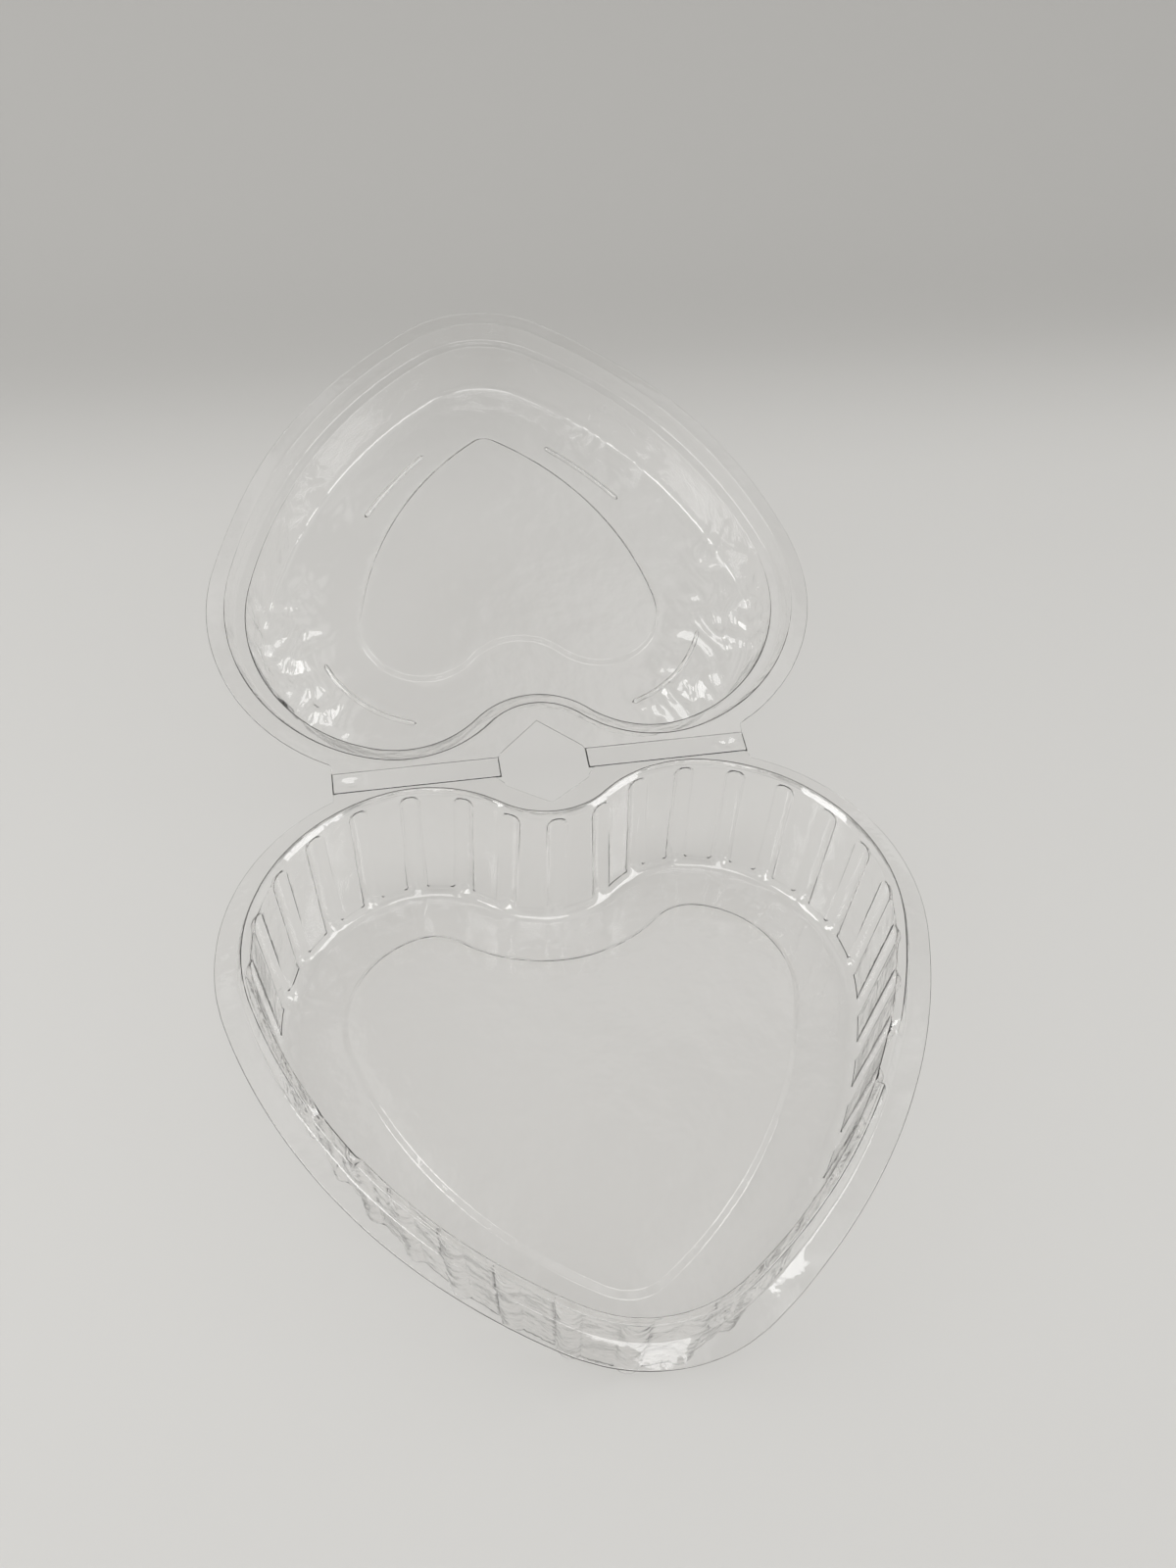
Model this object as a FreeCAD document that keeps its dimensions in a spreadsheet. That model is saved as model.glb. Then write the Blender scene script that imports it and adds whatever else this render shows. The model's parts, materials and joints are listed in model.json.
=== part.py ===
# Clear plastic clamshell pack: a heart-shaped tray and a shallower lid, formed from clear sheet
# and joined at the back by two hinge straps. Millimetres. X = 0 is the plane of symmetry, the tray
# lies on the -Y side and the open lid on the +Y side, Y = 0 is the middle of the two together, and
# Z = 0 is the surface the tray stands on. Each half is drawn with its hinge line on Y = 0, its tip
# to +Y and its flange level, and is then put in its place.
import FreeCAD
import Part
import Sketcher
import os
from math import atan2, cos, degrees, hypot, radians, sin, sqrt

doc = FreeCAD.newDocument("HeartClamshell")

# Driving dimensions
size = {
    # Sheet, heights and the lid's rest position
    "tray_sheet": 0.4,
    "lid_sheet": 0.3,
    "flange_height": 36.4,
    "closing_gap": 0.3,
    "lid_open_angle": 19.8,
    # Heart at the edge of the flange, made of arcs that run into each other
    "heart_width": 180.54,
    "heart_reach": 165.81,
    "outer_lobe_radius": 56.45,
    "outer_lobe_y": 56.65,
    "inner_lobe_radius": 42.81,
    "lobe_change_angle": 74.94,
    "cleft_radius": 14.96,
    "side_radius": 152.34,
    "tip_radius": 41.73,
    # Section of the tray, from the flange's edge inwards
    "tray_flange": 5.4,
    "rim_slope": 1.6,
    "rim_land": 0.6,
    "rim_rise": 3.9,
    "rim_back_slope": 1.6,
    "rim_back_fall": 1.3,
    "wall_lean": 2.7,
    "wall_foot_z": 2.6,
    "shoulder_width": 1.0,
    "shoulder_z": 1.1,
    "gutter_curve": 2.3,
    "gutter_width": 11.8,
    "floor_step": 2.3,
    "floor_rise": 1.3,
    "floor_land": 5.7,
    # Section of the lid, from the flange's edge inwards, cavity up
    "lid_flange": 5.1,
    "ring_slope": 2.1,
    "ring_depth": 5.1,
    "ledge_width": 3.2,
    "lid_wall_lean": 3.3,
    "lid_depth": 21.0,
    "panel_land": 5.3,
    # Smaller heart raised in the lid's panel
    "panel_width": 96.62,
    "panel_reach": 131.1,
    "panel_lobe_radius": 20.51,
    "panel_lobe_y": 60.55,
    "panel_cleft_radius": 18.96,
    "panel_side_radius": 98.33,
    "panel_tip_radius": 7.08,
    "panel_step": 2.2,
    "panel_rise": 1.3,
    # Upright channels pressed outwards all round the tray's wall
    "channel_radius": 3.45,
    "channel_axis_in": 1.7,
    "channels_each_side": 17,
    "channel_top_fall": 3.2,
    "channel_foot_z": 4.3,
    # Hinge: two straps either side of a six-sided opening
    "crease": 3.3,
    "strap_inner_x": 12.4,
    "strap_outer_x": 59.0,
    "web_outer_y": 7.2,
    "web_reach": 24.0,
    "opening_corner_x": 11.8,
    "tray_corner_y": 6.9,
    "tray_point_y": 15.0,
    "lid_corner_y": 4.4,
    "lid_point_y": 13.6,
    # Arc-shaped stiffening ribs in the lid's panel
    "rib_radius": 0.7,
    "tip_rib_in": 29.1,
    "tip_rib_from": 35.8,
    "tip_rib_to": 50.3,
    "hinge_rib_x": 23.3,
    "hinge_rib_y": 63.35,
    "hinge_rib_arc": 38.07,
    "hinge_rib_from": 285.4,
    "hinge_rib_to": 338.7,
    # How far the flat pieces run under the formed ones where they join
    "lap": 1.8,
}

# Sizes that follow from the driving ones
size["outer_lobe_x"] = size["heart_width"] / 2 - size["outer_lobe_radius"]
size["tip_y"] = size["heart_reach"] - size["tip_radius"]
size["panel_lobe_x"] = size["panel_width"] / 2 - size["panel_lobe_radius"]
size["panel_tip_y"] = size["panel_reach"] - size["panel_tip_radius"]
size["tip_rib_radius"] = size["side_radius"] - size["tip_rib_in"]
size["edge_in"] = 0.0
size["opening_back_y"] = 0.0

# Place of the hinge line: the pack as it stands open is centred on Y = 0
lean = radians(size["lid_open_angle"])
below_pivot = size["closing_gap"] / 2 + size["lid_sheet"]
size["lid_reach"] = size["heart_reach"] * cos(lean) + below_pivot * sin(lean)
size["hinge_y"] = (size["heart_reach"] - size["lid_reach"]) / 2

# Stations of the tray's section: distance inside the flange's edge and height of the upper face
size["flange_join_in"] = size["lid_flange"] - size["lap"]
size["rim_foot_in"] = size["tray_flange"]
size["rim_top_in"] = size["rim_foot_in"] + size["rim_slope"]
size["rim_back_in"] = size["rim_top_in"] + size["rim_land"]
size["wall_top_in"] = size["rim_back_in"] + size["rim_back_slope"]
size["wall_foot_in"] = size["wall_top_in"] + size["wall_lean"]
size["shoulder_in"] = size["wall_foot_in"] + size["shoulder_width"]
size["gutter_start_in"] = size["shoulder_in"] + size["gutter_curve"]
size["gutter_end_in"] = size["gutter_start_in"] + size["gutter_width"]
size["floor_step_in"] = size["gutter_end_in"] + size["floor_step"]
size["floor_in"] = size["floor_step_in"] + size["floor_land"]
size["floor_plate_in"] = size["floor_in"] - size["lap"]
size["flange_z"] = size["flange_height"]
size["rim_z"] = size["flange_z"] + size["rim_rise"]
size["wall_top_z"] = size["rim_z"] - size["rim_back_fall"]
size["gutter_z"] = size["tray_sheet"]
size["floor_z"] = size["gutter_z"] + size["floor_rise"]

# Stations of the lid's section
size["ring_top_in"] = size["lid_flange"]
size["ring_foot_in"] = size["ring_top_in"] + size["ring_slope"]
size["ledge_in"] = size["ring_foot_in"] + size["ledge_width"]
size["lid_wall_foot_in"] = size["ledge_in"] + size["lid_wall_lean"]
size["panel_edge_in"] = size["lid_wall_foot_in"] + size["panel_land"]
size["panel_plate_in"] = size["panel_edge_in"] - size["lap"]
size["ring_foot_z"] = size["flange_z"] - size["ring_depth"]
size["panel_z"] = size["flange_z"] - size["lid_depth"]
size["panel_heart_z"] = size["panel_z"] + size["panel_rise"]
size["heart_outside"] = -size["lap"]
size["heart_foot"] = 0.0
size["heart_top"] = size["panel_step"]
size["heart_inside"] = size["panel_step"] + size["lap"]
size["heart_hole"] = -size["lap"] / 2
size["heart_plate"] = size["panel_step"] + size["lap"] / 2

sheet = doc.addObject("Spreadsheet::Sheet", "Sizes")
for row, (name, number) in enumerate(size.items(), 1):
    sheet.set("A%d" % row, name)
    sheet.set("B%d" % row, repr(float(number)))
    sheet.setAlias("B%d" % row, name)


def vec(x, y, z):
    return FreeCAD.Vector(x, y, z)


# Arcs of a heart, anticlockwise from the cleft, as name, centre, radius name, start and end angle
def side_centre(lobe, lobe_radius, tip, side_radius, tip_radius):
    """Centre of the side arc that touches the lobe's arc and the tip's arc from outside."""
    to_lobe = side_radius - lobe_radius
    to_tip = side_radius - tip_radius
    across = hypot(tip[0] - lobe[0], tip[1] - lobe[1])
    along = (to_lobe ** 2 - to_tip ** 2 + across ** 2) / (2 * across)
    off = sqrt(to_lobe ** 2 - along ** 2)
    ux = (tip[0] - lobe[0]) / across
    uy = (tip[1] - lobe[1]) / across
    return (lobe[0] + ux * along - uy * off, lobe[1] + uy * along + ux * off)


def direction(start, end):
    return degrees(atan2(end[1] - start[1], end[0] - start[0]))


def arc(name, centre, radius, start, end, inward=-1):
    return {"name": name, "centre": centre, "radius": radius,
            "start": start, "end": end, "inward": inward}


def mirrored(piece):
    x, y = piece["centre"]
    return arc(piece["name"] + "Left", (-x, y), piece["radius"],
               180 - piece["end"], 180 - piece["start"], piece["inward"])


def pack_heart():
    """Arcs of the flange edge."""
    outer = (size["outer_lobe_x"], size["outer_lobe_y"])
    turn = radians(size["lobe_change_angle"])
    shift = size["outer_lobe_radius"] - size["inner_lobe_radius"]
    inner = (outer[0] + shift * cos(turn), outer[1] - shift * sin(turn))
    reach = size["inner_lobe_radius"] + size["cleft_radius"]
    cleft = (0.0, inner[1] - sqrt(reach ** 2 - inner[0] ** 2))
    tip = (0.0, size["tip_y"])
    side = side_centre(outer, size["outer_lobe_radius"], tip,
                       size["side_radius"], size["tip_radius"])
    to_inner = direction(cleft, inner)
    to_outer = direction(side, outer)
    to_tip = direction(side, tip)
    return [
        arc("Cleft", cleft, "cleft_radius", to_inner, 180 - to_inner, 1),
        arc("InnerLobe", inner, "inner_lobe_radius", to_inner - 180, -size["lobe_change_angle"]),
        arc("OuterLobe", outer, "outer_lobe_radius", -size["lobe_change_angle"], to_outer),
        arc("Side", side, "side_radius", to_outer, to_tip),
        arc("Tip", tip, "tip_radius", to_tip, 180 - to_tip),
    ]


def panel_heart():
    """Arcs of the smaller heart in the lid's panel."""
    lobe = (size["panel_lobe_x"], size["panel_lobe_y"])
    reach = size["panel_lobe_radius"] + size["panel_cleft_radius"]
    cleft = (0.0, lobe[1] - sqrt(reach ** 2 - lobe[0] ** 2))
    tip = (0.0, size["panel_tip_y"])
    side = side_centre(lobe, size["panel_lobe_radius"], tip,
                       size["panel_side_radius"], size["panel_tip_radius"])
    to_lobe = direction(cleft, lobe)
    to_side = direction(side, lobe)
    to_tip = direction(side, tip)
    return [
        arc("Cleft", cleft, "panel_cleft_radius", to_lobe, 180 - to_lobe, 1),
        arc("OuterLobe", lobe, "panel_lobe_radius", to_lobe - 180, to_side),
        arc("Side", side, "panel_side_radius", to_side, to_tip),
        arc("Tip", tip, "panel_tip_radius", to_tip, 180 - to_tip),
    ]


def whole(heart):
    """Both halves of a heart, in order round it, the cleft last."""
    right = [piece for piece in heart if piece["name"] not in ("Cleft", "Tip")]
    left = [mirrored(piece) for piece in reversed(right)]
    return right + [heart[-1]] + left + [heart[0]]


# Formed walls: the section is drawn once for each arc and turned about the arc's centre
def section(name, piece, stations, sheet_name):
    """Section of the sheet standing upright beside the axis of one arc, as a closed face."""
    sketch = doc.addObject("Sketcher::SketchObject", name + "Line")
    sign = piece["inward"]
    points = []
    for inset, height in stations:
        points.append((size[piece["radius"]] + sign * size[inset], size[height]))
    for first, second in zip(points, points[1:]):
        start = vec(first[0], first[1], 0)
        end = vec(second[0], second[1], 0)
        sketch.addGeometry(Part.LineSegment(start, end))
    for index in range(len(points) - 2):
        sketch.addConstraint(coincident(index, index + 1))
    word = "+" if sign > 0 else "-"
    for index, (inset, height) in enumerate(stations):
        line = min(index, len(points) - 2)
        end = 1 if index < len(points) - 1 else 2
        across = "Sizes.%s %s Sizes.%s" % (piece["radius"], word, inset)
        bind_point(sketch, line, end, points[index], across, "Sizes." + height)
    sketch.Placement.Rotation = FreeCAD.Rotation(vec(1, 0, 0), 90)
    face = doc.addObject("Part::Offset2D", name + "Section")
    face.Source = sketch
    face.setExpression("Value", ("" if sign < 0 else "-") + "Sizes." + sheet_name)
    face.Join = 2
    face.Mode = "Skin"
    face.Fill = True
    return face


def coincident(first, second):
    return Sketcher.Constraint("Coincident", first, 2, second, 1)


def bind_point(sketch, line, end, point, across, height):
    """Hold one end of a line at named distances from the sketch's origin."""
    kinds = (("DistanceX", point[0], across), ("DistanceY", point[1], height))
    for kind, number, words in kinds:
        made = sketch.addConstraint(Sketcher.Constraint(kind, -1, 1, line, end, number))
        sketch.setExpression("Constraints[%d]" % made, words)


def formed_ring(name, heart, stations, sheet_name):
    """Wall of one section carried all the way round a heart."""
    turned = []
    for piece in whole(heart):
        label = name + piece["name"]
        solid = doc.addObject("Part::Revolution", label)
        solid.Source = section(label, piece, stations, sheet_name)
        solid.Base = vec(0, 0, 0)
        solid.Axis = vec(0, 0, 1)
        solid.Angle = piece["end"] - piece["start"]
        solid.Solid = True
        turned_by = FreeCAD.Rotation(vec(0, 0, 1), piece["start"])
        centre = vec(piece["centre"][0], piece["centre"][1], 0)
        solid.Placement = FreeCAD.Placement(centre, turned_by)
        turned.append(solid)
    return turned


def heart_sketch(name, heart, height):
    """Closed outline of a heart, its arcs tangent to each other and bound to the sizes."""
    sketch = doc.addObject("Sketcher::SketchObject", name)
    loop = whole(heart)
    for piece in loop:
        circle = Part.Circle(vec(piece["centre"][0], piece["centre"][1], 0), vec(0, 0, 1),
                             size[piece["radius"]])
        sketch.addGeometry(Part.ArcOfCircle(circle, radians(piece["start"]), radians(piece["end"])))
    last = len(loop) - 1
    for index in range(last - 1):
        sketch.addConstraint(Sketcher.Constraint("Tangent", index, 2, index + 1, 1))
    sketch.addConstraint(Sketcher.Constraint("Tangent", last - 1, 2, last, 2))
    sketch.addConstraint(Sketcher.Constraint("Tangent", last, 1, 0, 1))
    for index, piece in enumerate(loop):
        made = sketch.addConstraint(Sketcher.Constraint("Radius", index, size[piece["radius"]]))
        sketch.setExpression("Constraints[%d]" % made, "Sizes." + piece["radius"])
    hold_centres(sketch, loop)
    sketch.Placement.Base = vec(0, 0, height)
    return sketch


def hold_centres(sketch, loop):
    """Hold the lobes' and the tip's centres, and the cleft's where the lobes are of two arcs."""
    small = len(loop) == 6
    word = "panel_" if small else "outer_"
    lobe_x = word + "lobe_x"
    lobe_y = word + "lobe_y"
    tip_y = "panel_tip_y" if small else "tip_y"
    for index, piece in enumerate(loop):
        if piece["name"] == "OuterLobe":
            bind_point(sketch, index, 3, piece["centre"], "Sizes." + lobe_x, "Sizes." + lobe_y)
        if piece["name"] == "OuterLobeLeft":
            bind_point(sketch, index, 3, piece["centre"], "-Sizes." + lobe_x, "Sizes." + lobe_y)
        if piece["name"] == "Tip":
            bind_point(sketch, index, 3, piece["centre"], "0", "Sizes." + tip_y)
        if piece["name"] == "Cleft" and not small:
            sketch.addConstraint(Sketcher.Constraint("PointOnObject", index, 3, -2))
            sketch.addConstraint(Sketcher.Constraint("DistanceY", index, 3, -1, 1,
                                                     -piece["centre"][1]))


def outline(name, heart, height, inset):
    """Heart outline moved inwards by a named distance."""
    if size[inset] == 0:
        return heart_sketch(name + "Heart", heart, height)
    edge = doc.addObject("Part::Offset2D", name + "Edge")
    edge.Source = heart_sketch(name + "Heart", heart, height)
    edge.setExpression("Value", "-Sizes." + inset)
    edge.Join = 0
    return edge


def plate(name, heart, height, thickness, inset):
    """Flat sheet of heart outline whose underside is at the given height."""
    solid = doc.addObject("Part::Extrusion", name)
    solid.Base = outline(name, heart, height, inset)
    solid.DirMode = "Custom"
    solid.Dir = vec(0, 0, 1)
    solid.LengthFwd = thickness
    solid.Solid = True
    return solid


def strap(name, left):
    """Land of one hinge strap between its two creases, leaning halfway to the lid."""
    height = size["flange_height"]
    crease = size["crease"]
    tilt = radians(size["lid_open_angle"])
    thickness = size["lid_sheet"]
    far_y = crease * cos(tilt)
    far_z = crease * sin(tilt)
    points = [
        (-crease, height),
        (-crease, height - thickness),
        (far_y + thickness * sin(tilt), height + far_z - thickness * cos(tilt)),
        (far_y, height + far_z),
    ]
    first = -size["strap_outer_x"] if left else size["strap_inner_x"]
    corners = [vec(first, y, z) for y, z in points]
    land = doc.addObject("Part::Feature", name + "Land")
    length = size["strap_outer_x"] - size["strap_inner_x"]
    land.Shape = Part.Face(Part.makePolygon(corners + corners[:1])).extrude(vec(length, 0, 0))
    return land


def polygon(name, points, height, thickness):
    """Flat sheet with straight edges whose underside is at the given height."""
    sketch = doc.addObject("Sketcher::SketchObject", name + "Outline")
    count = len(points)
    for index in range(count):
        first = corner(points[index])
        second = corner(points[(index + 1) % count])
        sketch.addGeometry(Part.LineSegment(first, second))
    for index in range(count):
        sketch.addConstraint(coincident(index, (index + 1) % count))
    for index, point in enumerate(points):
        where = (corner(point).x, corner(point).y)
        bind_point(sketch, index, 1, where, worded(point[0]), worded(point[1]))
    sketch.Placement.Base = vec(0, 0, height)
    solid = doc.addObject("Part::Extrusion", name)
    solid.Base = sketch
    solid.DirMode = "Custom"
    solid.Dir = vec(0, 0, 1)
    solid.LengthFwd = thickness
    solid.Solid = True
    return solid


def corner(point):
    """A polygon's corner from two size names; a leading minus sign mirrors it."""
    numbers = []
    for name in point:
        if name == "0":
            numbers.append(0.0)
        elif name.startswith("-"):
            numbers.append(-size[name[1:]])
        else:
            numbers.append(size[name])
    return vec(numbers[0], numbers[1], 0)


def worded(name):
    if name == "0":
        return "0"
    if name.startswith("-"):
        return "-Sizes." + name[1:]
    return "Sizes." + name


def joined(name, pieces, refine=True):
    solid = doc.addObject("Part::MultiFuse", name)
    solid.Shapes = pieces
    solid.Refine = refine
    return solid


def cut(name, base, tool):
    solid = doc.addObject("Part::Cut", name)
    solid.Base = base
    solid.Tool = tool
    return solid


# Tray
TRAY_SECTION = [
    ("flange_join_in", "flange_z"),
    ("rim_foot_in", "flange_z"),
    ("rim_top_in", "rim_z"),
    ("rim_back_in", "rim_z"),
    ("wall_top_in", "wall_top_z"),
    ("wall_foot_in", "wall_foot_z"),
    ("shoulder_in", "shoulder_z"),
    ("gutter_start_in", "gutter_z"),
    ("gutter_end_in", "gutter_z"),
    ("floor_step_in", "floor_z"),
    ("floor_in", "floor_z"),
]

LID_SECTION = [
    ("flange_join_in", "flange_z"),
    ("ring_top_in", "flange_z"),
    ("ring_foot_in", "ring_foot_z"),
    ("ledge_in", "ring_foot_z"),
    ("lid_wall_foot_in", "panel_z"),
    ("panel_edge_in", "panel_z"),
]

PANEL_SECTION = [
    ("heart_outside", "panel_z"),
    ("heart_foot", "panel_z"),
    ("heart_top", "panel_heart_z"),
    ("heart_inside", "panel_heart_z"),
]


def wall_arcs(heart):
    """Arcs of the middle line of the tray's wall, right half, from the cleft to the tip."""
    middle = (size["wall_top_in"] + size["wall_foot_in"]) / 2
    arcs = []
    for piece in heart:
        start, end = piece["start"], piece["end"]
        if piece["name"] == "Cleft":
            start, end = 90.0, piece["start"]
        if piece["name"] == "Tip":
            end = 90.0
        radius = size[piece["radius"]] + piece["inward"] * middle
        arcs.append((piece, start, end, radius, radius * radians(abs(end - start))))
    return arcs


def point_on_wall(heart, along):
    """Place and direction on the middle line of the tray's wall, measured from the cleft."""
    left = abs(along)
    for piece, start, end, radius, length in wall_arcs(heart):
        if left <= length:
            turn = start + (end - start) * left / length
            break
        left -= length
    x = piece["centre"][0] + radius * cos(radians(turn))
    y = piece["centre"][1] + radius * sin(radians(turn))
    outward = turn if piece["inward"] < 0 else turn + 180
    if along < 0:
        return -x, y, 180 - outward
    return x, y, outward


def channel_places(heart):
    """One placement for each channel: foot on the wall's middle line, leaning with the wall."""
    rise = size["wall_top_z"] - size["wall_foot_z"]
    run = size["wall_foot_in"] - size["wall_top_in"]
    lean = degrees(atan2(run, rise))
    middle_z = (size["wall_top_z"] + size["wall_foot_z"]) / 2
    each_side = int(size["channels_each_side"])
    pitch = sum(step[-1] for step in wall_arcs(heart)) / (each_side + 1 / 2)
    places = []
    for step in range(-each_side, each_side + 1):
        x, y, outward = point_on_wall(heart, step * pitch)
        turned = FreeCAD.Rotation(vec(0, 0, 1), outward)
        leaning = FreeCAD.Rotation(vec(0, 1, 0), lean)
        places.append(FreeCAD.Placement(vec(x, y, middle_z), turned.multiply(leaning)))
    return places


def channel(name, radius_words, radius):
    """Round-ended upright bar, its axis set inside the wall and centred on its middle height."""
    middle_z = (size["wall_top_z"] + size["wall_foot_z"]) / 2
    top = size["wall_top_z"] - size["channel_top_fall"] - middle_z
    foot = size["channel_foot_z"] - middle_z
    bar = doc.addObject("Part::Cylinder", name + "Bar")
    bar.Height = top - foot
    bar.Placement.Base = vec(-size["channel_axis_in"], 0, foot)
    ends = []
    for word, height in (("Top", top), ("Foot", foot)):
        ball = doc.addObject("Part::Sphere", name + word)
        ball.Placement.Base = vec(-size["channel_axis_in"], 0, height)
        ball.setExpression("Radius", radius_words)
        ends.append(ball)
    bar.setExpression("Radius", radius_words)
    return joined(name, [bar] + ends)


def outer_half(name, solid):
    """The part of a bar that stands outside the wall's inner face."""
    block = doc.addObject("Part::Box", name + "Block")
    wide = 4 * size["channel_radius"]
    high = 2 * size["rim_z"]
    block.Length = wide
    block.Width = wide
    block.Height = high
    block.Placement.Base = vec(-wide - size["tray_sheet"] / 2, -wide / 2, -high / 2)
    return cut(name, solid, block)


def copies(master, places):
    """Shapes of one solid, one at each place."""
    shapes = []
    for placement in places:
        shape = master.Shape.copy()
        shape.Placement = placement.multiply(shape.Placement)
        shapes.append(shape)
    return shapes


def fluted(name, shell, skin, hollow, places):
    """Wall with the channels pressed into it: their skins added, their hollows taken away."""
    doc.recompute()
    wall = doc.addObject("Part::Feature", name)
    wall.Shape = shell.Shape.fuse(copies(skin, places)).cut(copies(hollow, places))
    return wall


def behind_crease(name):
    """Block that takes away everything between the crease and the hinge line."""
    block = doc.addObject("Part::Box", name)
    span = size["heart_width"]
    block.Length = 2 * span
    block.Width = span
    block.Height = span
    block.Placement.Base = vec(-span, size["crease"] - span, size["flange_height"] - span / 2)
    return block


def flange(name, thickness, heart, corner_y, point_y):
    """Flat outer part of the flange, with the web that carries it back to the crease."""
    height = size["flange_height"] - thickness
    points = [
        ("strap_outer_x", "crease"),
        ("strap_outer_x", "web_outer_y"),
        ("0", "web_reach"),
        ("-strap_outer_x", "web_outer_y"),
        ("-strap_outer_x", "crease"),
    ]
    web = polygon(name + "Web", points, height, thickness)
    edge = plate(name + "Heart", heart, height, thickness, "edge_in")
    both = joined(name + "Both", [edge, web])
    straight = cut(name + "Straight", both, behind_crease(name + "Behind"))
    opened = cut(name + "Opened", straight, opening(name + "Opening", corner_y, point_y))
    inside = plate(name + "Inside", heart, height - thickness, 3 * thickness, "flange_join_in")
    return cut(name, opened, inside)


def opening(name, corner_y, point_y):
    """This side's half of the six-sided opening between the straps."""
    points = [
        ("opening_corner_x", "opening_back_y"),
        ("opening_corner_x", corner_y),
        ("0", point_y),
        ("-opening_corner_x", corner_y),
        ("-opening_corner_x", "opening_back_y"),
    ]
    deep = size["lap"]
    return polygon(name, points, size["flange_height"] - deep, 2 * deep)


def make_tray(heart):
    thickness = size["tray_sheet"]
    ring = formed_ring("Tray", heart, TRAY_SECTION, "tray_sheet")
    floor = plate("TrayFloor", heart, size["floor_z"] - thickness, thickness, "floor_plate_in")
    edge = flange("TrayFlange", thickness, heart, "tray_corner_y", "tray_point_y")
    shell = joined("TrayShell", ring + [floor])
    places = channel_places(heart)
    inner = channel("Channel", "Sizes.channel_radius", size["channel_radius"])
    outer = channel("ChannelSkin", "Sizes.channel_radius + Sizes.tray_sheet",
                    size["channel_radius"] + thickness)
    half = outer_half("ChannelHalf", outer)
    wall = fluted("TrayFluted", shell, half, inner, places)
    return joined("TrayFlat", [wall, edge], refine=False)


def rib(name, centre, radius, start, end, left):
    """Low arc-shaped rib standing out of the lid's panel."""
    ridge = doc.addObject("Part::Torus", name)
    ridge.setExpression("Radius1", "Sizes." + radius)
    ridge.setExpression("Radius2", "Sizes.rib_radius")
    ridge.Angle3 = size[end] - size[start]
    first = size[start]
    x = centre[0]
    if left:
        first = 180 - size[end]
        x = -x
    middle_z = size["panel_z"] - size["lid_sheet"] / 2
    turned = FreeCAD.Rotation(vec(0, 0, 1), first)
    ridge.Placement = FreeCAD.Placement(vec(x, centre[1], middle_z), turned)
    return ridge


def make_lid(heart, small_heart):
    thickness = size["lid_sheet"]
    ring = formed_ring("Lid", heart, LID_SECTION, "lid_sheet")
    step = formed_ring("Panel", small_heart, PANEL_SECTION, "lid_sheet")
    full = plate("LidPanelFull", heart, size["panel_z"] - thickness, thickness, "panel_plate_in")
    deep = size["lap"]
    hole = plate("LidPanelHole", small_heart, size["panel_z"] - deep, 2 * deep, "heart_hole")
    around = cut("LidPanel", full, hole)
    middle = plate("LidHeart", small_heart, size["panel_heart_z"] - thickness, thickness,
                   "heart_plate")
    edge = flange("LidFlange", thickness, heart, "lid_corner_y", "lid_point_y")
    formed = joined("LidFormed", ring + step + [around, middle])
    shell = joined("LidShell", [formed, edge], refine=False)
    side = heart[3]["centre"]
    near = (size["hinge_rib_x"], size["hinge_rib_y"])
    ribs = []
    for left in (False, True):
        word = "Left" if left else "Right"
        ribs.append(rib("TipRib" + word, side, "tip_rib_radius", "tip_rib_from", "tip_rib_to",
                        left))
        ribs.append(rib("HingeRib" + word, near, "hinge_rib_arc", "hinge_rib_from",
                        "hinge_rib_to", left))
    return joined("LidFlat", [shell] + ribs, refine=False)


def finished(name, source, placement):
    """The finished piece in its place, written out as STEP."""
    piece = doc.addObject("Part::Feature", name)
    piece.Shape = source.Shape
    piece.Placement = placement.multiply(piece.Placement)
    piece.Shape.exportStep("parts/%s.step" % name)
    return piece


def check_objects():
    """Stop if any object is broken or has no valid shape."""
    for item in doc.Objects:
        if "Invalid" in item.State or "Error" in item.State:
            raise RuntimeError("broken object: " + item.Name)
        if hasattr(item, "Shape") and (item.Shape.isNull() or not item.Shape.isValid()):
            raise RuntimeError("bad shape: " + item.Name)


os.makedirs("parts", exist_ok=True)
big = pack_heart()
small = panel_heart()
tray_flat = make_tray(big)
lid_flat = make_lid(big, small)
straps = {
    "hinge_strap_left": strap("StrapLeft", True),
    "hinge_strap_right": strap("StrapRight", False),
}
doc.recompute()
check_objects()

hinge = vec(0, size["hinge_y"], 0)
moved = FreeCAD.Placement(hinge, FreeCAD.Rotation())
half_turn = FreeCAD.Placement(hinge, FreeCAD.Rotation(vec(0, 0, 1), 180))
pivot = vec(0, 0, size["flange_height"] + size["closing_gap"] / 2)
opened = FreeCAD.Placement(hinge, FreeCAD.Rotation(vec(1, 0, 0), size["lid_open_angle"]), pivot)
finished("tray", tray_flat, half_turn)
finished("lid", lid_flat, opened)
for strap_name, land in straps.items():
    finished(strap_name, land, moved)
check_objects()
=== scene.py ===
# Clear heart-shaped clamshell pack: the formed film is drawn here as three smooth sheets, the tray,
# the lid and the two hinge straps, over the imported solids. The pack's lengths are in millimetres and
# become metres when a mesh is made. The table and the lamps are set in metres.
import bpy
import json
import numpy as np
from math import atan2, cos, degrees, exp, hypot, radians, sin, sqrt
from mathutils import Matrix, Vector


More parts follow.
